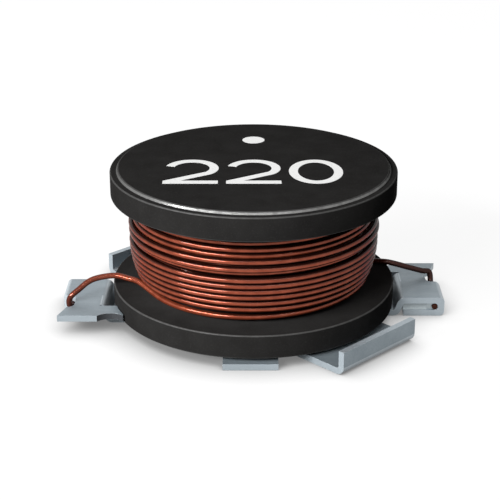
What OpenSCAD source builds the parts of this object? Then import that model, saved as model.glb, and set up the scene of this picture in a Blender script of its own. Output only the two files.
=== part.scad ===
/* [Core] */
// Diameter of both flanges
flange_d = 13.6; // [12.8:0.1:16]
// Thickness of a flange at its rim
flange_t = 1.15; // [0.8:0.05:1.6]
// Height of the part from the board to the top of the core
overall_h = 7.39; // [6.4:0.01:9]
// Diameter of the post that carries the wire
post_d = 7.6; // [5:0.1:8.4]
// Width of the ledge round the raised disc of an end face
ledge_w = 0.3; // [0.15:0.05:0.8]
// Height of the raised disc of an end face
face_step = 0.14; // [0.05:0.01:0.3]
// Run-out of the raised disc's sloping edge
face_slope = 0.08; // [0.02:0.01:0.14]
// Edge break of the flange rims
rim_break = 0.06; // [0.02:0.01:0.15]

/* [Winding] */
// Diameter of the enamelled wire
wire_d = 0.28; // [0.2:0.01:0.4]
// Gap between neighbouring turns of the outer layer
turn_gap = 0.02; // [0.01:0.005:0.3]
// Diameter of the end turns, at the centre of the wire
coil_end_d = 10.5; // [9.8:0.1:11]
// How far the middle turns stand out from the end turns
coil_bulge = 0.59; // [0:0.01:0.7]
// Gap between the wire and what it lies against
lay_gap = 0.02; // [0.01:0.005:0.05]
// Direction in which the outer layer leaves its lead, from the lead's terminal
coil_start_angle = 28; // [20:1:50]
// Part of a turn in which the wire of the outer layer ends under the upper flange
tail_turn = 0.4; // [0.3:0.05:0.5]
// Height of the left lead's arch above the lower flange
left_arch = 0.31; // [0.05:0.01:0.5]
// Height at which the left lead comes to the coil, above the lowest turn
left_landing = 0.23; // [0:0.01:0.25]
// Height of the right lead's arch above the lower flange
right_arch = 0.05; // [0.03:0.01:0.6]

/* [Terminals] */
// Length of the part from foot to foot
overall_l = 18.5; // [18:0.1:20]
// Thickness of the terminal sheet
sheet_t = 0.3; // [0.2:0.05:0.4]
// Inside radius of the sheet's bends
bend_r = 0.1; // [0.05:0.05:0.2]
// Gap between a riser and the rim of the core
riser_gap = 0.17; // [0.1:0.01:0.4]
// Slope of a riser
riser_angle = 70; // [50:1:85]
// Distance from the part's middle to the flush side of a foot
foot_side = 1.14; // [0.8:0.02:1.6]
// Width of the folded hook
hook_w = 1.98; // [1.4:0.02:2.4]
// Width of the notch that the lead passes through
notch_w = 1.32; // [1:0.02:1.6]
// Width of the flat wing beside the notch
wing_w = 1.02; // [0.6:0.02:1.4]
// Width of a riser
riser_w = 3.06; // [2.4:0.02:3.4]
// Length of the lug that reaches from the wing's side in to the rim of the core
lug_l = 1.2; // [0.9:0.05:1.4]
// Gap between the lug and the rim of the core
lug_gap = 0.05; // [0.03:0.01:0.15]
// Slit between the lug and the riser
slit_w = 0.12; // [0.08:0.02:0.3]
// Radius of the scallop in the lug's side
scallop_r = 0.85; // [0.6:0.05:1.2]
// Depth of the scallop in the lug's side
scallop_depth = 0.28; // [0.1:0.02:0.4]
// Gap between the wire and the fold of the hook
hook_gap = 0.03; // [0.01:0.005:0.06]
// Gap between the wire and the bottom of the notch
notch_gap = 0.06; // [0.04:0.01:0.12]
// Gap between the hook's free end and the riser
hook_end_gap = 0.12; // [0.05:0.01:0.3]
// Outside corner radius of the folded hook
fold_r = 0.22; // [0.1:0.01:0.3]
// Radius of the sheet's outline at the hook, the notch and the wing
corner_r = 0.3; // [0.15:0.05:0.4]
// Direction of the arm that carries an upright wall
arm_angle = -45; // [-60:1:-40]
// Distance from the part's middle to the outer face of an upright wall
wall_reach = 8.1; // [7.6:0.1:9.5]
// Width of an upright wall
wall_w = 5; // [3:0.1:5.6]
// Height of an upright wall
wall_h = 1.15; // [0.8:0.05:2]
// Width of the short tab
tab_w = 2.5; // [1.5:0.1:3]
// Sideways offset of the short tab
tab_shift = 0.15; // [0:0.05:0.4]
// How far the short tab shows past the core
tab_show = 0.1; // [0:0.05:0.5]
// Diameter of the round middle that the two terminals share
hub_d = 10.4; // [9:0.1:12]
// Gap between the two terminals
split_gap = 1.2; // [0.6:0.1:2]

/* [Bonds] */
// Thickness of the adhesive under the core
bond_t = 0.06; // [0.03:0.01:0.2]
// How far the adhesive stays inside the terminals' round middle
bond_inset = 0.5; // [0.2:0.05:1]
// Gap between the solder and the wire
solder_gap = 0.005; // [0.002:0.001:0.02]
// How far the solder in a hook reaches back from the middle of the wire
solder_l = 0.44; // [0.3:0.02:0.5]
// How far the solder's free face is hollowed
solder_hollow = 0.06; // [0.01:0.01:0.1]
// How far the solder stays inside the hook's two sides
solder_inset = 0.08; // [0.01:0.01:0.3]

/* [Hidden] */
$fn = 96;
// Sides of the swept wire, and its rings in one turn and in one stretch of a lead
wire_sides = 8;
turn_rings = 36;
lead_rings = 5;
bend_steps = 8;
// Core levels, from the board up
flange_r = flange_d / 2;
post_r = post_d / 2;
face_r = flange_r - ledge_w - face_slope;
core_z = sheet_t + bond_t;
rim_z = core_z + face_step;
deck_z = rim_z + flange_t;
core_top_z = overall_h;
upper_rim_z = core_top_z - face_step;
roof_z = upper_rim_z - flange_t;
window_h = roof_z - deck_z;
// Outer layer of the winding
wire_r = wire_d / 2;
lay_pitch = wire_d + turn_gap;
coil_end_r = coil_end_d / 2;
lowest_z = deck_z + wire_r + lay_gap;
highest_z = roof_z - wire_r - lay_gap;
// The first half turn climbs over the lead of the buried layers
crossing_turn = 0.45;
crossing_lift = max(0, wire_d + 2 * lay_gap - crossing_turn * lay_pitch);
coil_turns = (highest_z - lowest_z - crossing_lift) / lay_pitch;
tail_depth = 2 * wire_d;
// Way of the lead of the buried layers under the outer layer
lead_in_steps = 3;
lead_in_angle = 20;
lead_in_turn = 30;
// The buried layers lie one wire clear of both flanges
buried_z0 = deck_z + wire_d + 2 * lay_gap;
buried_z1 = roof_z - wire_d - 2 * lay_gap;
buried_steps = 16;
// Foot of a terminal, with the hook at the positive X end
tip_x = overall_l / 2;
fold_gap = wire_d + 2 * hook_gap;
leaf_z = sheet_t + fold_gap;
leaf_top = leaf_z + sheet_t;
hook_x = tip_x - sheet_t - fold_gap / 2;
hook_z = sheet_t + fold_gap / 2;
hook_rear = hook_w - foot_side;
wing_front = hook_rear + notch_w;
foot_rear = wing_front + wing_w;
notch_x = hook_x - wire_r - notch_gap;
// Riser between the base and the leaf
bend_out = bend_r + sheet_t;
bend_mid = bend_r + sheet_t / 2;
leaf_x = flange_r + riser_gap + bend_out * sin(riser_angle);
slope_l = (leaf_z - 2 * bend_mid * (1 - cos(riser_angle))) / sin(riser_angle);
base_x = leaf_x - 2 * bend_mid * sin(riser_angle) - slope_l * cos(riser_angle);
free_end_x = base_x + bend_out + hook_end_gap;
wall_x = wall_reach - bend_out;
// How far a bent strip laps the flat sheet that it continues, and how far a cut passes through
sheet_lap = 1;
past = 1;

function unit(v) = v / norm(v);

// Rings of the wire, and a tube through them
function ring(at, along) =
    let (side = unit(cross(along, [0, 0, 1])), up = cross(side, along))
    [for (k = [0 : wire_sides - 1]) at + wire_r * (cos(360 * k / wire_sides) * side
                                                   + sin(360 * k / wire_sides) * up)];

module wire(path) {
    last = len(path) - 1;
    points = [for (i = [0 : last]) each ring(path[i], unit(path[min(i + 1, last)] - path[max(i - 1, 0)]))];
    skin = [for (i = [0 : last - 1]) for (k = [0 : wire_sides - 1])
        let (a = i * wire_sides + k, b = i * wire_sides + (k + 1) % wire_sides)
        each [[a, b, a + wire_sides], [b, b + wire_sides, a + wire_sides]]];
    near_cap = [for (k = [wire_sides - 1 : -1 : 0]) k];
    far_cap = [for (k = [0 : wire_sides - 1]) last * wire_sides + k];
    polyhedron(points, concat(skin, [near_cap, far_cap]));
}

// A smooth curve through the second to the last but one of some points
function curve(p, i, s) = 0.5 * (2 * p[i] + (p[i + 1] - p[i - 1]) * s
    + (2 * p[i - 1] - 5 * p[i] + 4 * p[i + 1] - p[i + 2]) * s * s
    + (3 * p[i] - p[i - 1] - 3 * p[i + 1] + p[i + 2]) * s * s * s);
function smooth(p) = [for (i = [1 : len(p) - 3]) for (k = [0 : lead_rings - 1]) curve(p, i, k / lead_rings)];

// Barrel form of the outer layer, and a point of its helix after some turns
function coil_r(z) =
    let (off = (z - (deck_z + roof_z) / 2) / (window_h / 2))
    coil_end_r + coil_bulge * (1 - off * off);
function ease(s) = s <= 0 ? 0 : s >= 1 ? 1 : s * s * (3 - 2 * s);
function coil_z(turn) =
    lowest_z + lay_pitch * min(turn, coil_turns) + crossing_lift * ease(turn / crossing_turn);
function coil_point(turn) =
    let (z = coil_z(turn), r = coil_r(z) - tail_depth * ease((turn - coil_turns) / tail_turn))
    let (angle = coil_start_angle + 360 * turn)
    [r * cos(angle), r * sin(angle), z];

// Way of a lead from the hook's flush side, through the notch and over the flange's rim
function lead_start() = [hook_x, -foot_side, hook_z];
function lead_points(arch, landing) = [
    [hook_x, hook_rear - 0.4, hook_z],
    [hook_x, hook_rear + 0.04, hook_z],
    [hook_x + 0.05, hook_rear + 0.36, hook_z + 0.05],
    [hook_x + 0.1, hook_rear + 0.62, hook_z + 0.3],
    [hook_x + 0.02, hook_rear + 0.72, leaf_top + 0.22],
    [hook_x - 0.36, hook_rear + 0.62, leaf_top + 0.28 + 0.9 * arch],
    [hook_x - 1.05, hook_rear + 0.4, leaf_top + 0.52 + 1.6 * arch],
    [flange_r - 0.1, hook_rear + 0.3, lowest_z + arch],
    [flange_r - 0.85, hook_rear + 0.55, lowest_z + 0.3 * arch + 0.7 * landing],
    [coil_end_r + 0.2, hook_rear + 0.9, lowest_z + landing]];

// The lead of the buried layers goes on under them, winding in to the post
function inner_lead_points() = [
    for (s = [1 : lead_in_steps])
        let (r = coil_end_r + (post_r + wire_d - coil_end_r) * s / lead_in_steps)
        let (angle = lead_in_angle + lead_in_turn * s / lead_in_steps)
        [r * cos(angle), r * sin(angle), lowest_z]];

module buried_layers() {
    inside = post_r + lay_gap;
    outside = [for (i = [0 : buried_steps])
        let (z = buried_z0 + (buried_z1 - buried_z0) * i / buried_steps)
        [coil_r(z) - wire_r - 2 * lay_gap, z]];
    rotate_extrude()
        polygon(concat([[inside, buried_z0]], outside, [[inside, buried_z1]]));
}

module outer_layer() {
    coil = [for (i = [0 : floor((coil_turns + tail_turn) * turn_rings)]) coil_point(i / turn_rings)];
    lead = smooth(concat(lead_points(left_arch, left_landing), [coil[0], coil[1]]));
    rotate([0, 0, 180])
        wire(concat([lead_start()], lead, coil));
}

module inner_lead() {
    lead = smooth(concat(lead_points(right_arch, 0), inner_lead_points()));
    wire(concat([lead_start()], lead));
}

module winding() {
    color("sienna") {
        buried_layers();
        outer_layer();
        inner_lead();
    }
}

module drum_core() {
    color("dimgray")
        rotate_extrude()
            polygon([
                [0, core_z],
                [face_r, core_z],
                [face_r + face_slope, rim_z],
                [flange_r - rim_break, rim_z],
                [flange_r, rim_z + rim_break],
                [flange_r, deck_z - rim_break],
                [flange_r - rim_break, deck_z],
                [post_r, deck_z],
                [post_r, roof_z],
                [flange_r - rim_break, roof_z],
                [flange_r, roof_z + rim_break],
                [flange_r, upper_rim_z - rim_break],
                [flange_r - rim_break, upper_rim_z],
                [face_r + face_slope, upper_rim_z],
                [face_r, core_top_z],
                [0, core_top_z]]);
}

// Places and directions along the middle of a bent sheet, where each step is a flat and the turn after it
function bend_stations(at, dir, turn) =
    let (middle = at + sign(turn) * bend_mid * [-sin(dir), cos(dir)])
    [for (k = [1 : bend_steps])
        let (d = dir + turn * k / bend_steps)
        [middle - sign(turn) * bend_mid * [-sin(d), cos(d)], d]];
function stations(steps, at, dir, i = 0) =
    let (next = at + steps[i][0] * [cos(dir), sin(dir)], turn = steps[i][1])
    let (arc = turn == 0 ? [] : bend_stations(next, dir, turn))
    concat([[next, dir]], arc,
           i == len(steps) - 1 ? [] : stations(steps, arc[bend_steps - 1][0], dir + turn, i + 1));

module bent_sheet(start_x, steps, width) {
    start = [start_x, sheet_t / 2];
    line = concat([[start, 0]], stations(steps, start, 0));
    lower = [for (s = line) s[0] - sheet_t / 2 * [-sin(s[1]), cos(s[1])]];
    upper = [for (s = line) s[0] + sheet_t / 2 * [-sin(s[1]), cos(s[1])]];
    translate([0, width, 0])
        rotate([90, 0, 0])
            linear_extrude(width)
                polygon(concat(lower, [for (i = [len(upper) - 1 : -1 : 0]) upper[i]]));
}

// Half of the plane that one terminal may take
module own_half(gap) {
    rotate(arm_angle)
        translate([gap / 2, -flange_d])
            square([flange_d, 2 * flange_d]);
}

module base_outline() {
    intersection() {
        own_half(split_gap);
        union() {
            circle(d = hub_d);
            translate([0, -foot_side])
                square([base_x, riser_w]);
            translate([-tab_w / 2 - tab_shift, -flange_r - tab_show])
                square([tab_w, flange_r + tab_show]);
            rotate(arm_angle)
                translate([0, -wall_w / 2])
                    square([wall_x, wall_w]);
        }
    }
}

module upright_wall() {
    rotate([0, 0, arm_angle])
        translate([0, -wall_w / 2, 0])
            bent_sheet(wall_x - sheet_lap, [[sheet_lap, 90], [wall_h - bend_out, 0]], wall_w);
}

module riser() {
    translate([0, -foot_side, 0])
        bent_sheet(base_x - sheet_lap,
                   [[sheet_lap, riser_angle], [slope_l, -riser_angle], [sheet_lap, 0]], riser_w);
}

// Round-ended slot that opens towards positive X
module open_slot(length, width, r) {
    translate([r, 0])
        square([length, width]);
    translate([0, r])
        square([r, width - 2 * r]);
    for (y = [r, width - r])
        translate([r, y])
            circle(r);
}

// What a round corner leaves of a square one
module corner_cut(r) {
    difference() {
        square(r + past);
        circle(r);
    }
}

// Flat of a foot: behind the hook, the wing past the notch, and the lug that reaches in to the core's rim
module leaf() {
    lug_front = riser_w - foot_side + slit_w;
    translate([0, 0, leaf_z])
        linear_extrude(sheet_t)
            difference() {
                union() {
                    translate([leaf_x, -foot_side])
                        square([hook_x - leaf_x, foot_rear + foot_side]);
                    translate([leaf_x, wing_front])
                        square([tip_x - leaf_x, wing_w]);
                    translate([leaf_x - lug_l, lug_front])
                        square([lug_l + slit_w, foot_rear - lug_front]);
                }
                circle(flange_r + lug_gap);
                translate([leaf_x - lug_l / 2, foot_rear + scallop_r - scallop_depth])
                    circle(scallop_r);
                translate([notch_x, hook_rear])
                    open_slot(tip_x, notch_w, corner_r);
                translate([tip_x - corner_r, wing_front + corner_r])
                    mirror([0, 1])
                        corner_cut(corner_r);
            }
}

module hook_section() {
    difference() {
        union() {
            translate([free_end_x, 0])
                square([tip_x - fold_r - free_end_x, leaf_top]);
            translate([free_end_x, fold_r])
                square([tip_x - free_end_x, leaf_top - 2 * fold_r]);
            for (z = [fold_r, leaf_top - fold_r])
                translate([tip_x - fold_r, z])
                    circle(fold_r);
        }
        translate([free_end_x - past, sheet_t])
            square([hook_x - free_end_x + past, fold_gap]);
        translate([hook_x, hook_z])
            circle(fold_gap / 2);
    }
}

module hook() {
    difference() {
        translate([0, hook_rear, 0])
            rotate([90, 0, 0])
                linear_extrude(hook_w)
                    hook_section();
        translate([tip_x - corner_r, hook_rear - corner_r, -past])
            linear_extrude(leaf_top + 2 * past)
                corner_cut(corner_r);
    }
}

module terminal() {
    linear_extrude(sheet_t)
        base_outline();
    upright_wall();
    riser();
    leaf();
    hook();
}

module terminal_right() {
    color("lightsteelblue")
        terminal();
}

module terminal_left() {
    color("lightsteelblue")
        rotate([0, 0, 180])
            terminal();
}

// Solder that fills the hook's fold round the wire, with a hollow face towards the riser
module solder() {
    solder_x = hook_x - solder_l;
    hollow_r = (fold_gap * fold_gap / 4 + solder_hollow * solder_hollow) / (2 * solder_hollow);
    translate([0, hook_rear - solder_inset, 0])
        rotate([90, 0, 0])
            linear_extrude(hook_w - 2 * solder_inset)
                difference() {
                    union() {
                        translate([solder_x, sheet_t])
                            square([solder_l, fold_gap]);
                        translate([hook_x, hook_z])
                            circle(fold_gap / 2);
                    }
                    translate([hook_x, hook_z])
                        circle(wire_r + solder_gap);
                    translate([solder_x + solder_hollow - hollow_r, hook_z])
                        circle(hollow_r);
                }
}

module solder_right() {
    color("silver")
        solder();
}

module solder_left() {
    color("silver")
        rotate([0, 0, 180])
            solder();
}

module adhesive() {
    translate([0, 0, sheet_t])
        linear_extrude(bond_t)
            intersection() {
                own_half(split_gap + 2 * bond_inset);
                circle(d = hub_d - 2 * bond_inset);
            }
}

module adhesive_right() {
    color("tan")
        adhesive();
}

module adhesive_left() {
    color("tan")
        rotate([0, 0, 180])
            adhesive();
}

drum_core();
winding();
terminal_right();
terminal_left();
solder_right();
solder_left();
adhesive_right();
adhesive_left();
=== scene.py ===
"""Looks of the wound drum-core inductor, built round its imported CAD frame."""

import math
from collections import namedtuple

import bmesh
import bpy
from mathutils import Matrix, Vector
from mathutils.bvhtree import BVHTree


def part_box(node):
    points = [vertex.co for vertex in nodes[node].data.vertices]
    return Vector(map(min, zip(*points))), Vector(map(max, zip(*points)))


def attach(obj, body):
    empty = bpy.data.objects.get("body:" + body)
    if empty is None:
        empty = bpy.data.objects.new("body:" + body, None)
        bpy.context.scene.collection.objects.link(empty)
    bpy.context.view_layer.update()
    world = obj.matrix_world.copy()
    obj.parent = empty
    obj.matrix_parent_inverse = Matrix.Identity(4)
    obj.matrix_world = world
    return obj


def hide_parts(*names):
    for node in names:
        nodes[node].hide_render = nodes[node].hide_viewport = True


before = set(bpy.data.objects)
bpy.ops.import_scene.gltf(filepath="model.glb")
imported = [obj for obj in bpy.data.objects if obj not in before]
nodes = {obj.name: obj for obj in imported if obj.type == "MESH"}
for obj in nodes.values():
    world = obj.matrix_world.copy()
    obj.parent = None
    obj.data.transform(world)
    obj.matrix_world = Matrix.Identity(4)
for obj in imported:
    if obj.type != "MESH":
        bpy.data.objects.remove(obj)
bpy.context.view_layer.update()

# Lengths below are in millimetres, and a mesh is scaled to metres when it is made
MM = 0.001


def box_mm(node):
    """Lowest and highest corner of a CAD node in millimetres, to a tenth of a micron."""
    return [[round(c / MM, 4) for c in corner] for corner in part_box(node)]


# Core, inside the box of its CAD node and otherwise as in the part's source
(_, _, CORE_Z), (FLANGE_R, _, CORE_TOP_Z) = box_mm("drum_core")
FLANGE_T = 1.15
POST_R = 3.8
LEDGE_W = 0.3
FACE_STEP = 0.14
FACE_SLOPE = 0.08
FACE_R = FLANGE_R - LEDGE_W - FACE_SLOPE
RIM_Z = CORE_Z + FACE_STEP
DECK_Z = RIM_Z + FLANGE_T
UPPER_RIM_Z = CORE_TOP_Z - FACE_STEP
ROOF_Z = UPPER_RIM_Z - FLANGE_T
WINDOW_H = ROOF_Z - DECK_Z
# Radii of the core's edges and the strength of their paler, glossier finish, and that of the raised disc's
# slope: a painted highlight
RIM_R = 0.07
RIM_SHEEN = 0.28
FACE_EDGE_R = 0.09
FACE_EDGE_SHEEN = 0.25
SLOPE_FOOT_R = 0.02
SLOPE_SHEEN = 0.9
# Steps round the axis and along the arc of an edge
LATHE_STEPS = 288
ARC_STEPS = 5
# Mesh attribute for the marks: painted highlight on the core, painted light on the sheet, painted shade and
# heat marks on the wire
MARK_ATTRIBUTE = "wear"

# Winding, as in the part's source
WIRE_D = 0.28
WIRE_R = WIRE_D / 2
TURN_GAP = 0.02
LAY_PITCH = WIRE_D + TURN_GAP
LAY_GAP = 0.02
COIL_END_R = 5.25
COIL_BULGE = 0.59
COIL_START_ANGLE = 28
# Part of a turn in which the wire's end dives in, and how deep
TAIL_TURN = 0.4
TAIL_DEPTH = 2 * WIRE_D
# Part of a turn in which the wire's start climbs over the other lead, and how high
CROSSING_TURN = 0.45
CROSSING_LIFT = WIRE_D + 2 * LAY_GAP - CROSSING_TURN * LAY_PITCH
# Lowest and highest place of the wire between the flanges, and the turns there
LOWEST_Z = DECK_Z + WIRE_R + LAY_GAP
HIGHEST_Z = ROOF_Z - WIRE_R - LAY_GAP
COIL_TURNS = (HIGHEST_Z - LOWEST_Z - CROSSING_LIFT) / LAY_PITCH
# How far each lead arches up at the rim, and how far above the lowest place it lands
LEFT_ARCH = 0.31
LEFT_LANDING = 0.23
RIGHT_ARCH = 0.05
RIGHT_LANDING = 0
# Steps, first angle and turn of the right lead on its way in to the post
LEAD_IN_STEPS = 3
LEAD_IN_ANGLE = 20
LEAD_IN_TURN = 30
# How far each turn lies above even spacing and outside the even barrel
TURN_SHIFTS = (0, 0.03, 0.06, 0.08, 0.07, 0.055, 0.04, 0.09, -0.01, 0.03, -0.07, -0.075, -0.09, -0.105, 0)
TURN_LIFTS = (0, 0, 0, 0, 0, 0, 0, -0.1, 0.1, 0.1, -0.1, 0, 0, 0, 0)
# Part of a turn after which the wire goes over to the next turn's place, and in which it does so
SHIFT_START = 0.72
SHIFT_LENGTH = 0.35
# Layer under the outer one, which shows in the gaps
UNDER_DEPTH = WIRE_D - min(TURN_LIFTS) + 2 * LAY_GAP
UNDER_PITCH = 0.31
BURIED_STEPS = 24
# Length of each lead that turns dark from its cut end, and how much: heat marks on the left lead, painted
# shade all along the right lead
LEFT_SCORCH_L = 10.5
LEFT_SCORCH = 0.9
RIGHT_SHADE_L = 30
RIGHT_SHADE = 1.0
# Height on the wire's side, as a part of its radius, where the painted shade of a groove begins and is full
GROOVE_SHADE_START = 0.1
GROOVE_SHADE_FULL = 0.85
# Part of a turn in which the first turn comes to lie beside the next
GROOVE_RUN_IN = 0.2
# Points round the wire, and its rings to a turn and between two points of a lead
WIRE_SIDES = 16
TURN_RINGS = 120
LEAD_RINGS = 10

# Foot of a terminal, out to the end of its CAD node and otherwise as in the part's source
TIP_X = box_mm("terminal_right")[1][0]
SHEET_T = 0.3
FOOT_SIDE = 1.14
HOOK_W = 1.98
HOOK_GAP = 0.03
NOTCH_W = 1.32
WING_W = 1.02
FOLD_GAP = WIRE_D + 2 * HOOK_GAP
HOOK_X = TIP_X - SHEET_T - FOLD_GAP / 2
HOOK_Z = SHEET_T + FOLD_GAP / 2
HOOK_REAR = HOOK_W - FOOT_SIDE
LEAF_TOP = 2 * SHEET_T + FOLD_GAP
WING_FRONT = HOOK_REAR + NOTCH_W
FOOT_REAR = WING_FRONT + WING_W
# Scallop in the side of a foot's lug, and how near its arc a point of its face lies
SCALLOP_R = 0.85
SCALLOP_DEPTH = 0.28
SCALLOP_X = 6.746
SCALLOP_Y = FOOT_REAR + SCALLOP_R - SCALLOP_DEPTH
SCALLOP_SLACK = 0.02
# Points of a lead: X from a place, Y from the hook's rear, Z from a height, shares of arch and landing
LEAD_COURSE = (
    (HOOK_X, 0, -0.4, HOOK_Z, 0, 0, 0),
    (HOOK_X, 0, 0.04, HOOK_Z, 0, 0, 0),
    (HOOK_X, 0.05, 0.36, HOOK_Z, 0.05, 0, 0),
    (HOOK_X, 0.1, 0.62, HOOK_Z, 0.3, 0, 0),
    (HOOK_X, 0.02, 0.72, LEAF_TOP, 0.22, 0, 0),
    (HOOK_X, -0.36, 0.62, LEAF_TOP, 0.28, 0.9, 0),
    (HOOK_X, -1.05, 0.4, LEAF_TOP, 0.52, 1.6, 0),
    (FLANGE_R, -0.1, 0.3, LOWEST_Z, 0, 1, 0),
    (FLANGE_R, -0.85, 0.55, LOWEST_Z, 0, 0.3, 0.7),
    (COIL_END_R, 0.2, 0.9, LOWEST_Z, 0, 0, 1))

# From the right terminal to the left one
HALF_TURN = Matrix.Rotation(math.pi, 3, "Z")

# How far the wing's end slants back towards the notch
WING_SLANT = 0.35
# Radius, steps and roundness of the sheet's broken edges
EDGE_R = 0.04
EDGE_SEGMENTS = 2
EDGE_PROFILE = 0.5
# Paler finish of the sheet's cut sides, its bends and its broken edges: painted light on sides and bends,
# painted highlight on edges
CUT_SHEEN = 0.35
BEND_LIGHT = 0.7
BROKEN_EDGE_SHEEN = 1
# Points of the sheet nearer to each other than this are made one
WELD = 0.0005
# Degrees up to which neighbouring facets are made one flat, and over which an edge is broken
FLAT_ANGLE = 2
SHARP_ANGLE = 35
# Width over which a face of the sheet is a flat
FLAT_WIDTH = 1.1 * SHEET_T
# Metal behind a narrow face, or corners of it, over which it is a cut side and no bend
CUT_DEPTH = 1.5 * SHEET_T
BEND_CORNERS = 4
# How far under a face the metal behind it is measured from
SIGHT_START = 0.01 * SHEET_T

# Run of solder along a hook's fold, its lap over the solder there, and the hollow of its free faces
RUN_START_X = 7.22
RUN_LAP = 0.06
RUN_END_X = box_mm("solder_right")[0][0] + RUN_LAP
RUN_INSET = 0.05
RUN_HOLLOW = 0.04
RUN_STEPS = 8

# Print on the upper face, just inside the CAD box, with its body set a little into the face
INK_T = 0.005
INK_SINK = 0.001
INK_BODY = 0.008
# Steps round an oval, and the start and sweep of a numeral's bow in degrees
NUMERAL_STEPS = 64
BOW_START = 165
BOW_SWEEP = 205
# Sizes of the strokes, the numerals and the dot, and where they stand
STROKE_W = 0.42
DIGIT_W = 2.1
DIGIT_H = 3.0
DIGIT_GAP = 0.8
ROW_Y = -1.1
DOT_R = 0.55
DOT_Y = 3.7

# Colours, from the darkest to the lightest where there are more, and glancing tints of reflections
FERRITE = ((0.0205, 0.0197, 0.0192), (0.0267, 0.0259, 0.0253))
FERRITE_PORE = (0.04, 0.039, 0.0385)
# Paler, glossier colour of the core's marked edges and slope: painted highlight
FERRITE_EDGE_SHEEN = (0.23, 0.23, 0.226)
FERRITE_GLANCE = (0.2, 0.2, 0.2)
COPPER = ((0.25, 0.047, 0.02), (0.325, 0.068, 0.031), (0.41, 0.095, 0.048))
COPPER_GLANCE = (0.12, 0.06, 0.04)
# Colour of the painted shade in the grooves and along the right lead, and of heat marks on the left lead
COPPER_DARK = (0.014, 0.005, 0.004)
COPPER_CUT = ((0.02, 0.008, 0.006), (0.07, 0.026, 0.017))
TIN = ((0.25, 0.3, 0.335), (0.305, 0.36, 0.395))
TIN_STREAK = (0.36, 0.415, 0.45)
# Paler colour of the sheet's bends, cut sides and edges: painted light and highlight
TIN_SHEEN = (0.62, 0.68, 0.72)
# Dark colour of the lug's scallop faces: painted shade
SCALLOP_SHADE = ((0.03, 0.033, 0.038), (0.05, 0.054, 0.06))
SOLDER = ((0.3, 0.345, 0.365), (0.38, 0.425, 0.44))
ADHESIVE = ((0.12, 0.095, 0.07), (0.2, 0.165, 0.125))
INK = ((0.68, 0.68, 0.68), (0.94, 0.94, 0.93))
WHITE = (1, 1, 1)
# Brightness of the buried wire beside the outer layer's: painted shade
BURIED_SHADE_TONE = 0.3
# Values between which most of a noise texture lies, and its roughness
NOISE_LOW = 0.3
NOISE_HIGH = 0.7
NOISE_ROUGHNESS = 0.55
# Sockets of a mix node for colours
MIX_FACTOR = 0
MIX_FIRST = 6
MIX_SECOND = 7
MIX_RESULT = 2

# Camera, with its pitch below the level in degrees and the range that it sees
CAMERA_AT = (-0.1718, -60.542, 27.863)
CAMERA_PITCH = 22.346
CAMERA_LENS = 97.03
SENSOR_W = 36
CLIP_START = 1
CLIP_END = 10000
# Floor, with the light it gives back to the camera and to the part, and its own glow
FLOOR_SIZE = 3000
FLOOR_DROP = 0.01
FLOOR_MATTE = 0.12
FLOOR_BOUNCE = 0.1
FLOOR_GLOW = 0.92
# Reach of the contact shadow, and its stops as a place's openness and the glow left there
CONTACT_REACH = 2.2
CONTACT_STOPS = ((0.2, 0.2), (0.94, 1.0))
# Strength of the white surroundings as seen, and as light on the part
WORLD_SEEN = 1.0
WORLD_LIGHT = 0.08
# Lamps by name: azimuth from the camera's side to the right, elevation, width, height and watts
LAMPS = {"key": (-50, 28, 300, 60, 2.6), "glint": (2, 46, 460, 8, 0.32)}
LAMP_DISTANCE = 400


def ease(s):
    """Smooth step from 0 to 1 while a value goes from 0 to 1."""
    s = min(max(s, 0), 1)
    return s * s * (3 - 2 * s)


def circle(steps):
    """Angles of even steps round a circle."""
    return [2 * math.pi * k / steps for k in range(steps)]


def polar(r, degrees, z):
    """Point at a radius from the axis, an angle and a height."""
    angle = math.radians(degrees)
    return Vector((r * math.cos(angle), r * math.sin(angle), z))


# Mesh helpers
def put(name, data):
    """A new object with some data, in the scene."""
    thing = bpy.data.objects.new(name, data)
    bpy.context.scene.collection.objects.link(thing)
    return thing


def make_piece(name, verts, faces, material, smooth=True):
    mesh = bpy.data.meshes.new(name)
    mesh.from_pydata([[c * MM for c in v] for v in verts], [], faces)
    mesh.materials.append(material)
    mesh.polygons.foreach_set("use_smooth", [smooth] * len(mesh.polygons))
    return put(name, mesh)


def set_point_marks(piece, marks):
    """Keep a mark for each point of a piece's mesh: painted highlight on the core, painted shade and heat
    marks on the wire.
    """
    piece.data.attributes.new(MARK_ATTRIBUTE, "FLOAT", "POINT").data.foreach_set("value", marks)


def lathe(profile, steps):
    """Vertices and faces of a closed profile of (radius, height) turned about Z."""
    verts, rings = [], []
    for r, z in profile:
        if r == 0:
            rings.append([len(verts)] * steps)
            verts.append((0, 0, z))
            continue
        rings.append(list(range(len(verts), len(verts) + steps)))
        verts += [(r * math.cos(angle), r * math.sin(angle), z) for angle in circle(steps)]
    faces = []
    for low, high in zip(rings, rings[1:]):
        for k in range(steps):
            n = (k + 1) % steps
            corners = [low[k], low[n], high[n], high[k]]
            faces.append(list(dict.fromkeys(corners)))
    return verts, faces


# Corner of a profile, with the radius of its arc, and the strength of the painted highlight on the arc and
# on the straight that leads to it
Corner = namedtuple("Corner", "r z arc_r wear wear_before", defaults=(0, 0, 0))


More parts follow.
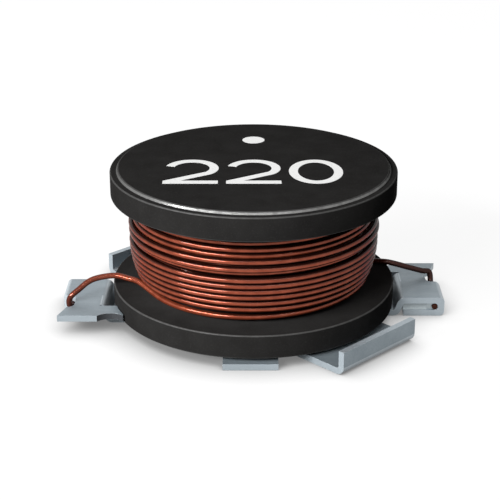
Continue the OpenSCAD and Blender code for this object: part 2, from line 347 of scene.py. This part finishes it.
def rounded(corners):
    """A profile with its corners turned into arcs, and a mark of painted highlight for each of its points.
    """
    points = [Vector((corner.r, corner.z)) for corner in corners]
    profile, marks = [], []
    for i, corner in enumerate(corners):
        if corner.arc_r == 0:
            profile.append((corner.r, corner.z))
            marks.append(0)
            continue
        back = (points[i - 1] - points[i]).normalized()
        on = (points[i + 1] - points[i]).normalized()
        half = back.angle(on) / 2
        middle = points[i] + (back + on).normalized() * corner.arc_r / math.sin(half)
        start = (points[i] + back * corner.arc_r / math.tan(half) - middle).normalized()
        end = (points[i] + on * corner.arc_r / math.tan(half) - middle).normalized()
        for k in range(ARC_STEPS + 1):
            profile.append(tuple(middle + start.slerp(end, k / ARC_STEPS) * corner.arc_r))
        marks += [corner.wear_before] + [corner.wear] * (ARC_STEPS - 1) + [corners[i + 1].wear_before]
    return profile, marks


def skin(rings):
    """Vertices, side faces and two end faces over a row of rings.

    The points of a ring go round counter-clockwise as seen along the row, so all faces point outwards.
    """
    count = len(rings[0])
    verts = [point for ring in rings for point in ring]
    faces = []
    for first in range(0, len(verts) - count, count):
        for k in range(count):
            a = first + k
            b = first + (k + 1) % count
            faces.append([a, a + count, b + count, b])
    ends = [list(range(count)), list(range(len(verts) - count, len(verts)))[::-1]]
    return verts, faces, ends


def wire_rings(path):
    """Rings of points round a wire along a path."""
    rings = []
    up = Vector((0, 0, 1))
    last = len(path) - 1
    for i, at in enumerate(path):
        along = (path[min(i + 1, last)] - path[max(i - 1, 0)]).normalized()
        side = along.cross(up).normalized()
        rise = side.cross(along)
        rings.append([at + WIRE_R * (math.cos(a) * side + math.sin(a) * rise) for a in circle(WIRE_SIDES)])
    return rings


# Course of the wire
def coil_r(z):
    """Radius of the even barrel at a height."""
    off = (z - (DECK_Z + ROOF_Z) / 2) / (WINDOW_H / 2)
    return COIL_END_R + COIL_BULGE * (1 - off * off)


def uneven(offsets, turn):
    """Offset of the wire after some turns, where each turn has an offset of its own."""
    shifts = turn - SHIFT_START
    k = math.floor(shifts)
    before = offsets[k] if k >= 0 else 0
    after = offsets[k + 1]
    return before + (after - before) * ease((shifts - k) / SHIFT_LENGTH)


def coil_point(turn):
    z = LOWEST_Z + LAY_PITCH * min(turn, COIL_TURNS) + CROSSING_LIFT * ease(turn / CROSSING_TURN)
    z += uneven(TURN_SHIFTS, turn)
    r = coil_r(z) + uneven(TURN_LIFTS, turn) - TAIL_DEPTH * ease((turn - COIL_TURNS) / TAIL_TURN)
    return polar(r, COIL_START_ANGLE + 360 * turn, z)


def under_point(turn):
    z = HIGHEST_Z - UNDER_DEPTH - UNDER_PITCH * turn
    return polar(coil_r(z) - UNDER_DEPTH, COIL_START_ANGLE + 360 * turn, z)


def lead_points(arch, landing):
    """Points of a lead from its hook to the coil."""
    points = []
    for x, dx, dy, z, dz, arch_share, landing_share in LEAD_COURSE:
        height = z + dz + arch_share * arch + landing_share * landing
        points.append(Vector((x + dx, HOOK_REAR + dy, height)))
    return points


def inner_lead_points():
    """Points of the right lead on its way in to the post."""
    points = []
    for k in range(1, LEAD_IN_STEPS + 1):
        s = k / LEAD_IN_STEPS
        r = COIL_END_R + (POST_R + WIRE_D - COIL_END_R) * s
        points.append(polar(r, LEAD_IN_ANGLE + LEAD_IN_TURN * s, LOWEST_Z))
    return points


def smooth_curve(p):
    """Points of a smooth curve through the second to the last but one of some points."""
    course = []
    for i in range(1, len(p) - 2):
        for k in range(LEAD_RINGS):
            s = k / LEAD_RINGS
            course.append(0.5 * (2 * p[i] + (p[i + 1] - p[i - 1]) * s
                                 + (2 * p[i - 1] - 5 * p[i] + 4 * p[i + 1] - p[i + 2]) * s ** 2
                                 + (3 * p[i] - p[i - 1] - 3 * p[i + 1] + p[i + 2]) * s ** 3))
    return course


# Node helpers
def new_material(name):
    material = bpy.data.materials.new(name)
    material.use_nodes = True
    tree = material.node_tree
    return material, tree, tree.nodes["Principled BSDF"]


def set_input(tree, socket, value):
    """Link an input to another node's output, or set it to a plain value."""
    if isinstance(value, bpy.types.NodeSocket):
        tree.links.new(value, socket)
    else:
        socket.default_value = value


def set_inputs(tree, node, **inputs):
    """Link or set a node's inputs by name, with underscores for the spaces."""
    for name, value in inputs.items():
        set_input(tree, node.inputs[name.replace("_", " ")], value)


def add(tree, kind, **inputs):
    node = tree.nodes.new(kind)
    set_inputs(tree, node, **inputs)
    return node


def math_of(tree, operation, first, second):
    node = tree.nodes.new("ShaderNodeMath")
    node.operation = operation
    tree.links.new(first, node.inputs[0])
    tree.links.new(second, node.inputs[1])
    return node.outputs[0]


def place(tree, stretch=(1, 1, 1)):
    """Object coordinates in millimetres, squeezed along each axis by stretch."""
    coords = tree.nodes.new("ShaderNodeTexCoord")
    scale = [1 / MM * s for s in stretch]
    return add(tree, "ShaderNodeMapping", Vector=coords.outputs["Object"], Scale=scale).outputs["Vector"]


def grain(tree, where, scale, detail):
    noise = add(tree, "ShaderNodeTexNoise", Vector=where, Scale=scale, Detail=detail,
                Roughness=NOISE_ROUGHNESS)
    return noise.outputs["Fac"]


def rgba(colour):
    """A colour or a grey with its alpha."""
    return (*colour, 1) if isinstance(colour, tuple) else (colour, colour, colour, 1)


def ramp(tree, value, *stops):
    """Colours or greys at places along a value."""
    node = add(tree, "ShaderNodeValToRGB", Fac=value)
    elements = node.color_ramp.elements
    while len(elements) < len(stops):
        elements.new(0.5)
    for element, (at, colour) in zip(elements, stops):
        element.position = at
        element.color = rgba(colour)
    return node.outputs["Color"]


def spread(tree, noise, low, high):
    """Two colours or greys over the range of a noise."""
    return ramp(tree, noise, (NOISE_LOW, low), (NOISE_HIGH, high))


def blend(tree, factor, first, second):
    """Two colours or greys mixed by a factor."""
    node = tree.nodes.new("ShaderNodeMix")
    node.data_type = "RGBA"
    tree.links.new(factor, node.inputs[MIX_FACTOR])
    for index, colour in ((MIX_FIRST, first), (MIX_SECOND, second)):
        plain = not isinstance(colour, bpy.types.NodeSocket)
        set_input(tree, node.inputs[index], rgba(colour) if plain else colour)
    return node.outputs[MIX_RESULT]


def bump(tree, height, depth):
    """Normals that follow a height over a depth in millimetres."""
    return add(tree, "ShaderNodeBump", Height=height, Strength=1.0, Distance=depth * MM).outputs["Normal"]


def mark_mask(tree, strength):
    """The mesh's own mark, times a strength: painted highlight, light and shade, and heat marks, by
    material.
    """
    mark = tree.nodes.new("ShaderNodeAttribute")
    mark.attribute_name = MARK_ATTRIBUTE
    return math_of(tree, "MULTIPLY", mark.outputs["Fac"], strength)


def seen_directly(tree, strength, otherwise=0.0):
    """A strength for camera, glossy and transmission rays, and another for light."""
    path = tree.nodes.new("ShaderNodeLightPath")
    seen = path.outputs["Is Camera Ray"]
    for kind in ("Is Glossy Ray", "Is Transmission Ray"):
        seen = math_of(tree, "MAXIMUM", seen, path.outputs[kind])
    return add(tree, "ShaderNodeMapRange", Value=seen, To_Min=otherwise, To_Max=strength).outputs["Result"]


# Materials
def ferrite():
    """Sintered ferrite: near-black and matt, with fine pores, and paler, glossier edges whose colour paints
    highlight lines.
    """
    material, tree, shader = new_material("ferrite")
    where = place(tree)
    clouds = grain(tree, where, scale=0.9, detail=4)
    pores = grain(tree, where, scale=14, detail=2)
    scuffs = grain(tree, where, scale=3.5, detail=5)
    # Marked edges and the disc's slope turn paler and glossier: painted highlight
    edge_sheen = mark_mask(tree, ramp(tree, scuffs, (0.25, 0.6), (0.6, 1.0)))
    body = spread(tree, clouds, *FERRITE)
    speckled = blend(tree, ramp(tree, pores, (0.55, 0.0), (0.75, 0.5)), body, FERRITE_PORE)
    dull = ramp(tree, clouds, (0.3, 0.46), (0.75, 0.58))
    set_inputs(tree, shader,
               Base_Color=blend(tree, edge_sheen, speckled, FERRITE_EDGE_SHEEN),
               Roughness=blend(tree, edge_sheen, dull, 0.26),
               Metallic=blend(tree, edge_sheen, 0.08, 0.8),
               Normal=bump(tree, pores, depth=0.008),
               Specular_IOR_Level=0.0,
               Specular_Tint=rgba(FERRITE_GLANCE))
    return material


def enamelled_copper(name, tone):
    """Copper wire under clear red-brown enamel, with painted shade in the grooves and along the right lead,
    and heat marks near the left lead's end.
    """
    material, tree, shader = new_material(name)
    where = place(tree)
    streaks = grain(tree, where, scale=2.2, detail=5)
    fine = grain(tree, where, scale=22, detail=3)
    toned = [tuple(tone * c for c in colour) for colour in COPPER]
    body = ramp(tree, streaks, *zip((0.3, 0.55, 0.75), toned))
    # Marked places turn dark: painted shade in grooves and on the right lead, heat marks on the left lead
    shade_and_scorch = mark_mask(tree, spread(tree, fine, 0.9, 1.0))
    set_inputs(tree, shader,
               Base_Color=blend(tree, shade_and_scorch, body, COPPER_DARK),
               Roughness=spread(tree, fine, 0.14, 0.22),
               Normal=bump(tree, fine, depth=0.003),
               Metallic=0.5,
               Specular_IOR_Level=0.0,
               Specular_Tint=rgba(COPPER_GLANCE),
               Coat_Weight=0.35,
               Coat_Roughness=0.1)
    return material


def bare_copper():
    """Cut end of the wire, dull and dark."""
    material, tree, shader = new_material("bare_copper")
    cut = grain(tree, place(tree, (1, 1, 6)), scale=9, detail=3)
    set_inputs(tree, shader,
               Base_Color=spread(tree, cut, *COPPER_CUT),
               Roughness=spread(tree, cut, 0.35, 0.55),
               Metallic=1.0)
    return material


def tinned_sheet():
    """Matt tin on rolled sheet, faintly streaked along X, paler at its bends, cut sides and edges: painted
    light and highlight.
    """
    material, tree, shader = new_material("tinned_sheet")
    clouds = grain(tree, place(tree), scale=1.1, detail=4)
    rolled = grain(tree, place(tree, (0.5, 9, 9)), scale=1.6, detail=4)
    mottle = grain(tree, place(tree), scale=26, detail=2)
    body = spread(tree, clouds, *TIN)
    streaked = blend(tree, ramp(tree, rolled, (0.4, 0.0), (0.7, 0.35)), body, TIN_STREAK)
    # Marked faces turn paler: painted light on bends and cut sides, painted highlight on edges
    sheen_and_light = mark_mask(tree, ramp(tree, mottle, (0.2, 0.6), (0.6, 1.0)))
    set_inputs(tree, shader,
               Base_Color=blend(tree, sheen_and_light, streaked, TIN_SHEEN),
               Roughness=spread(tree, mottle, 0.38, 0.52),
               Normal=bump(tree, mottle, depth=0.006),
               Metallic=0.55)
    return material


def scallop_shade():
    """Dark colour on the faces of a foot's lug scallop: painted shade."""
    material, tree, shader = new_material("scallop_shade")
    drawn = grain(tree, place(tree, (3, 3, 0.6)), scale=6, detail=4)
    set_inputs(tree, shader,
               Base_Color=spread(tree, drawn, *SCALLOP_SHADE),
               Roughness=spread(tree, drawn, 0.5, 0.65),
               Normal=bump(tree, drawn, depth=0.006),
               Metallic=0.2)
    return material


def solder_metal():
    """Solder with a frosted skin."""
    material, tree, shader = new_material("solder")
    frost = grain(tree, place(tree), scale=12, detail=4)
    set_inputs(tree, shader,
               Base_Color=spread(tree, frost, *SOLDER),
               Roughness=spread(tree, frost, 0.3, 0.45),
               Normal=bump(tree, frost, depth=0.004),
               Metallic=0.7)
    return material


def cured_adhesive():
    """Brown epoxy with a dull, uneven skin."""
    material, tree, shader = new_material("adhesive")
    clouds = grain(tree, place(tree), scale=2.5, detail=4)
    set_inputs(tree, shader,
               Base_Color=spread(tree, clouds, *ADHESIVE),
               Roughness=spread(tree, clouds, 0.45, 0.65),
               Normal=bump(tree, clouds, depth=0.02))
    return material


def white_ink():
    """Matt ink that covers a little unevenly."""
    material, tree, shader = new_material("white_ink")
    cover = grain(tree, place(tree), scale=11, detail=4)
    set_inputs(tree, shader,
               Base_Color=ramp(tree, cover, *zip((0.25, 0.42), INK)),
               Roughness=spread(tree, cover, 0.6, 0.75),
               Normal=bump(tree, cover, depth=0.004))
    return material


def pale_floor():
    """Diffuse floor that takes the shadow, with a glow that is only seen, and fades near the part."""
    material, tree, shader = new_material("pale_floor")
    tree.nodes.remove(shader)
    matte = add(tree, "ShaderNodeBsdfDiffuse", Color=seen_directly(tree, FLOOR_MATTE, FLOOR_BOUNCE))
    contact = add(tree, "ShaderNodeAmbientOcclusion", Distance=CONTACT_REACH * MM)
    shaded = ramp(tree, contact.outputs["AO"], *CONTACT_STOPS)
    glow = add(tree, "ShaderNodeEmission", Color=shaded, Strength=seen_directly(tree, FLOOR_GLOW))
    both = tree.nodes.new("ShaderNodeAddShader")
    tree.links.new(matte.outputs[0], both.inputs[0])
    tree.links.new(glow.outputs[0], both.inputs[1])
    tree.links.new(both.outputs[0], tree.nodes["Material Output"].inputs["Surface"])
    return material


# Core with rounded edges
def build_core(material):
    face_top = CORE_TOP_Z - INK_T
    profile, marks = rounded([
        Corner(0, CORE_Z),
        Corner(FACE_R, CORE_Z, FACE_EDGE_R, FACE_EDGE_SHEEN),
        Corner(FACE_R + FACE_SLOPE, RIM_Z, SLOPE_FOOT_R, 0, SLOPE_SHEEN),
        Corner(FLANGE_R, RIM_Z, RIM_R, RIM_SHEEN),
        Corner(FLANGE_R, DECK_Z, RIM_R, RIM_SHEEN),
        Corner(POST_R, DECK_Z),
        Corner(POST_R, ROOF_Z),
        Corner(FLANGE_R, ROOF_Z, RIM_R, RIM_SHEEN),
        Corner(FLANGE_R, UPPER_RIM_Z, RIM_R, RIM_SHEEN),
        Corner(FACE_R + FACE_SLOPE, UPPER_RIM_Z, SLOPE_FOOT_R),
        Corner(FACE_R, face_top, FACE_EDGE_R, FACE_EDGE_SHEEN, SLOPE_SHEEN),
        Corner(0, face_top)])
    verts, faces = lathe(profile, LATHE_STEPS)
    core = make_piece("core", verts, faces, material)
    set_point_marks(core, [mark for mark, (r, z) in zip(marks, profile) for k in range(LATHE_STEPS if r else 1)])
    core.modifiers.new("flat_faces", "WEIGHTED_NORMAL")
    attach(core, "root")
    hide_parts("drum_core")


# Wire with real turns
def groove_shade_marks(count, first):
    """Painted shade in the grooves between turns, for a wire of some rings whose turns begin at one of
    them.
    """
    marks = []
    for i in range(count):
        beside = ease((i - first) / (GROOVE_RUN_IN * TURN_RINGS))
        for angle in circle(WIRE_SIDES):
            height = abs(math.sin(angle))
            marks.append(beside * ease((height - GROOVE_SHADE_START) / (GROOVE_SHADE_FULL - GROOVE_SHADE_START)))
    return marks


def scorch_and_shade_marks(path, length, scorch):
    """Dark along a lead from its cut end: heat marks on the left lead, painted shade on the whole right
    lead.
    """
    marks, run = [], 0
    for i, at in enumerate(path):
        run += (at - path[max(i - 1, 0)]).length
        marks += [scorch * (1 - ease(run / length))] * WIRE_SIDES
    return marks


def wire_piece(name, path, enamel, cut_end, marks):
    """A piece of wire with a mark for each of its points, of painted shade and of heat marks."""
    verts, faces, ends = skin(wire_rings(path))
    piece = make_piece(name, verts, faces + ends, enamel)
    piece.data.materials.append(cut_end)
    for end in piece.data.polygons[-len(ends):]:
        end.material_index = 1
        end.use_smooth = False
    set_point_marks(piece, marks)
    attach(piece, "root")
    return piece


def build_winding():
    enamel = enamelled_copper("enamelled_copper", 1.0)
    # A darker copy of the copper paints the shade on the wire under the outer layer
    shaded = enamelled_copper("buried_copper", BURIED_SHADE_TONE)
    cut_end = bare_copper()
    lead_start = Vector((HOOK_X, -FOOT_SIDE, HOOK_Z))
    rings = round((COIL_TURNS + TAIL_TURN) * TURN_RINGS)
    coil = [coil_point(i / TURN_RINGS) for i in range(rings + 1)]
    lead = smooth_curve(lead_points(LEFT_ARCH, LEFT_LANDING) + coil[:2])
    path = [HALF_TURN @ p for p in [lead_start] + lead + coil]
    # Painted shade in the grooves between turns
    grooves = groove_shade_marks(len(path), len(path) - len(coil))
    scorch = scorch_and_shade_marks(path, LEFT_SCORCH_L, LEFT_SCORCH)
    outer = wire_piece("outer_layer", path, enamel, cut_end, [max(pair) for pair in zip(grooves, scorch)])
    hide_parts("winding")

    inner = [lead_start] + smooth_curve(lead_points(RIGHT_ARCH, RIGHT_LANDING) + inner_lead_points())
    # The right lead is dark all along: painted shade
    wire_piece("inner_lead", inner, enamel, cut_end, scorch_and_shade_marks(inner, RIGHT_SHADE_L, RIGHT_SHADE))

    under_turns = (HIGHEST_Z - LOWEST_Z - 2 * UNDER_DEPTH) / UNDER_PITCH
    rings = math.floor(under_turns * TURN_RINGS)
    under = [under_point(i / TURN_RINGS) for i in range(rings + 1)]
    wire_piece("under_layer", under, shaded, cut_end, groove_shade_marks(len(under), 0))
    build_buried_layers(shaded)


def build_buried_layers(material):
    """What lies under the layer that shows in the gaps."""
    low = LOWEST_Z + UNDER_DEPTH - WIRE_R
    high = HIGHEST_Z - UNDER_DEPTH + WIRE_R
    inside = POST_R + LAY_GAP
    heights = [low + (high - low) * i / BURIED_STEPS for i in range(BURIED_STEPS + 1)]
    outside = [(coil_r(z) - UNDER_DEPTH, z) for z in heights]
    verts, faces = lathe([(inside, low)] + outside + [(inside, high), (inside, low)], LATHE_STEPS // 2)
    buried = make_piece("buried_layers", verts, faces, material)
    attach(buried, "root")


# Sheet metal and bonds
def sheet_sheen(face, solid):
    """Paler finish of a sheet's face, which paints light: none on a flat, and one each for a cut side and a
    bend.

    A cut side is as narrow as a bend's facet, but has more metal behind it or more corners.
    """
    width = 2 * face.calc_area() / face.calc_perimeter()
    if width > FLAT_WIDTH * MM:
        return 0
    start = face.calc_center_median() - face.normal * SIGHT_START * MM
    behind = solid.ray_cast(start, -face.normal)[3]
    cut = len(face.verts) > BEND_CORNERS or behind is None or behind > CUT_DEPTH * MM
    return CUT_SHEEN if cut else BEND_LIGHT


def face_normals(shape, edge_faces):
    """A normal for each point of a shape, from the faces round it by area, but not its broken edges."""
    normals = []
    for vert in shape.verts:
        flats = [f for f in vert.link_faces if f not in edge_faces] or vert.link_faces
        normals.append(sum((f.normal * f.calc_area() for f in flats), Vector()).normalized())
    return normals


def slant_wing(shape, turn):
    """Trim the end of the flat wing beside the notch to a slanted line."""
    for vert in shape.verts:
        at = turn.inverted() @ vert.co / MM
        limit = TIP_X - WING_SLANT * (FOOT_REAR - at.y) / (FOOT_REAR - WING_FRONT)
        if at.y > WING_FRONT - EDGE_R and at.x > limit:
            vert.co = turn @ Vector((limit, at.y, at.z)) * MM


def in_scallop(face, turn):
    """Whether a face belongs to the scallop of a foot's lug."""
    middle = Vector((SCALLOP_X, SCALLOP_Y))
    reach = [((turn.inverted() @ vert.co / MM).xy - middle).length for vert in face.verts]
    return all(abs(r - SCALLOP_R) < SCALLOP_SLACK for r in reach)


def build_softened(node, turn, materials):
    """A copy of a terminal's CAD node, with a slanted wing and edges broken by a small radius.

    The turn is the one that leads from the right terminal to this one.
    """
    shape = bmesh.new()
    shape.from_mesh(nodes[node].data)
    slant_wing(shape, turn)
    bmesh.ops.remove_doubles(shape, verts=shape.verts, dist=WELD * MM)
    bmesh.ops.dissolve_limit(shape, angle_limit=math.radians(FLAT_ANGLE), verts=shape.verts,
                             edges=shape.edges)
    shape.normal_update()
    # Each face's mark of paler finish: painted light on cut sides and bends, painted highlight on edges
    wear = shape.faces.layers.float.new(MARK_ATTRIBUTE)
    solid = BVHTree.FromBMesh(shape)
    for face in shape.faces:
        face[wear] = sheet_sheen(face, solid)
        # The scallop's faces take the dark material: painted shade
        face.material_index = 1 if in_scallop(face, turn) else 0
    sharp = [e for e in shape.edges if e.is_manifold and e.calc_face_angle() > math.radians(SHARP_ANGLE)]
    broken = bmesh.ops.bevel(shape, geom=sharp, offset=EDGE_R * MM, segments=EDGE_SEGMENTS,
                             profile=EDGE_PROFILE, affect="EDGES", clamp_overlap=True)
    for face in broken["faces"]:
        face[wear] = BROKEN_EDGE_SHEEN
    shape.normal_update()
    normals = face_normals(shape, set(broken["faces"]))
    mesh = bpy.data.meshes.new(node + "_sheet")
    for material in materials:
        mesh.materials.append(material)
    shape.to_mesh(mesh)
    shape.free()
    mesh.polygons.foreach_set("use_smooth", [True] * len(mesh.polygons))
    mesh.normals_split_custom_set_from_vertices(normals)
    piece = put(node + "_sheet", mesh)
    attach(piece, "root")
    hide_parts(node)


def build_solder_run(name, turn, material):
    """Solder that ran on along a hook's fold, with hollow free faces, turned to its foot."""
    rings = []
    for i in range(RUN_STEPS + 1):
        s = i / RUN_STEPS
        hollow = RUN_HOLLOW * math.sin(math.pi * s)
        z = SHEET_T + (LEAF_TOP - 2 * SHEET_T) * s
        front = RUN_INSET + hollow - FOOT_SIDE
        rear = HOOK_REAR - RUN_INSET - hollow
        start = RUN_START_X + hollow
        corners = ((start, rear, z), (RUN_END_X, rear, z), (RUN_END_X, front, z), (start, front, z))
        rings.append([turn @ Vector(corner) for corner in corners])
    verts, faces, ends = skin(rings)
    piece = make_piece(name, verts, faces + ends, material, smooth=False)
    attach(piece, "root")


def finish_node(node, material):
    """Give a CAD node that stays its better material."""
    for slot in nodes[node].material_slots:
        slot.material = material


# Plain numerals and a winding-start dot
def stroke(course, closed):
    """Flat stroke along a course of points in the plane, cut level where an open one ends."""
    verts, faces = [], []
    count = len(course)
    for i, at in enumerate(course):
        before = course[i - 1] if closed or i > 0 else at
        after = course[(i + 1) % count] if closed or i < count - 1 else at
        along = (after - before).normalized()
        side = Vector((-along.y, along.x))
        if not closed and i == count - 1:
            side = Vector((-1 / along.y, 0))
        verts += [at + side * STROKE_W / 2, at - side * STROKE_W / 2]
    for i in range(count if closed else count - 1):
        a = 2 * i
        b = 2 * ((i + 1) % count)
        faces.append([a, a + 1, b + 1, b])
    return verts, faces


def round_course(width, height):
    """Points of an upright oval, counter-clockwise."""
    return [Vector((width / 2 * math.cos(a), height / 2 * math.sin(a))) for a in circle(NUMERAL_STEPS)]


def numeral_zero():
    return [stroke(round_course(DIGIT_W, DIGIT_H), True)]


def numeral_two():
    bow = DIGIT_W / 2
    middle = DIGIT_H / 2 - bow
    foot_top = -(DIGIT_H - STROKE_W) / 2
    foot_end = -(DIGIT_H + STROKE_W) / 2
    course = []
    for k in range(NUMERAL_STEPS // 2 + 1):
        angle = math.radians(BOW_START - BOW_SWEEP * 2 * k / NUMERAL_STEPS)
        course.append(Vector((bow * math.cos(angle), middle + bow * math.sin(angle))))
    course.append(Vector((-bow + STROKE_W / 2, foot_top)))
    reach = bow + STROKE_W / 2
    corners = ((-reach, foot_end), (reach, foot_end), (reach, foot_top), (-reach, foot_top))
    foot = [Vector(corner) for corner in corners]
    return [stroke(course, False), (foot, [[0, 1, 2, 3]])]


def dot():
    return [(round_course(2 * DOT_R, 2 * DOT_R), [list(range(NUMERAL_STEPS))])]


def build_print(material):
    step = DIGIT_W + DIGIT_GAP
    marks = [(numeral_two(), -step, ROW_Y), (numeral_two(), 0, ROW_Y), (numeral_zero(), step, ROW_Y),
             (dot(), 0, DOT_Y)]
    verts, faces = [], []
    for strokes, x, y in marks:
        for flat, flat_faces in strokes:
            first = len(verts)
            verts += [(v.x + x, v.y + y, CORE_TOP_Z - INK_SINK) for v in flat]
            faces += [[first + i for i in face] for face in flat_faces]
    piece = make_piece("print", verts, faces, material, smooth=False)
    body = piece.modifiers.new("ink_body", "SOLIDIFY")
    body.thickness = INK_BODY * MM
    body.offset = -1
    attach(piece, "root")


# Stage, light and camera
def build_stage():
    half = FLOOR_SIZE / 2
    corners = [(x, y, -FLOOR_DROP) for x, y in ((-half, -half), (half, -half), (half, half), (-half, half))]
    floor = make_piece("floor", corners, [[0, 1, 2, 3]], pale_floor(), smooth=False)
    world = bpy.data.worlds.new("studio")
    world.use_nodes = True
    tree = world.node_tree
    strength = seen_directly(tree, WORLD_SEEN, WORLD_LIGHT)
    set_inputs(tree, tree.nodes["Background"], Color=rgba(WHITE), Strength=strength)
    bpy.context.scene.world = world


def area_light(name, azimuth, elevation, width, height, power):
    """A lamp that faces the part."""
    a = math.radians(azimuth)
    e = math.radians(elevation)
    back = Vector((math.sin(a) * math.cos(e), -math.cos(a) * math.cos(e), math.sin(e)))
    lamp = bpy.data.lights.new(name, "AREA")
    lamp.energy = power
    lamp.shape = "RECTANGLE"
    lamp.size = width * MM
    lamp.size_y = height * MM
    holder = put(name, lamp)
    holder.location = (Vector((0, 0, CORE_TOP_Z / 2)) + back * LAMP_DISTANCE) * MM
    holder.rotation_euler = back.to_track_quat("Z", "Y").to_euler()


def build_camera():
    camera = bpy.data.cameras.new("camera")
    camera.lens = CAMERA_LENS
    camera.sensor_width = SENSOR_W
    camera.clip_start = CLIP_START * MM
    camera.clip_end = CLIP_END * MM
    holder = put("camera", camera)
    holder.location = Vector(CAMERA_AT) * MM
    holder.rotation_euler = (math.radians(90 - CAMERA_PITCH), 0, 0)
    bpy.context.scene.camera = holder


build_core(ferrite())
build_winding()
tin = [tinned_sheet(), scallop_shade()]
joint_metal = solder_metal()
glue = cured_adhesive()
for side, turn in (("right", Matrix.Identity(3)), ("left", HALF_TURN)):
    build_softened("terminal_" + side, turn, tin)
    finish_node("solder_" + side, joint_metal)
    build_solder_run("solder_run_" + side, turn, joint_metal)
    finish_node("adhesive_" + side, glue)
build_print(white_ink())
build_stage()
for name, lamp in LAMPS.items():
    area_light(name, *lamp)
build_camera()
bpy.context.scene.view_settings.view_transform = "Standard"
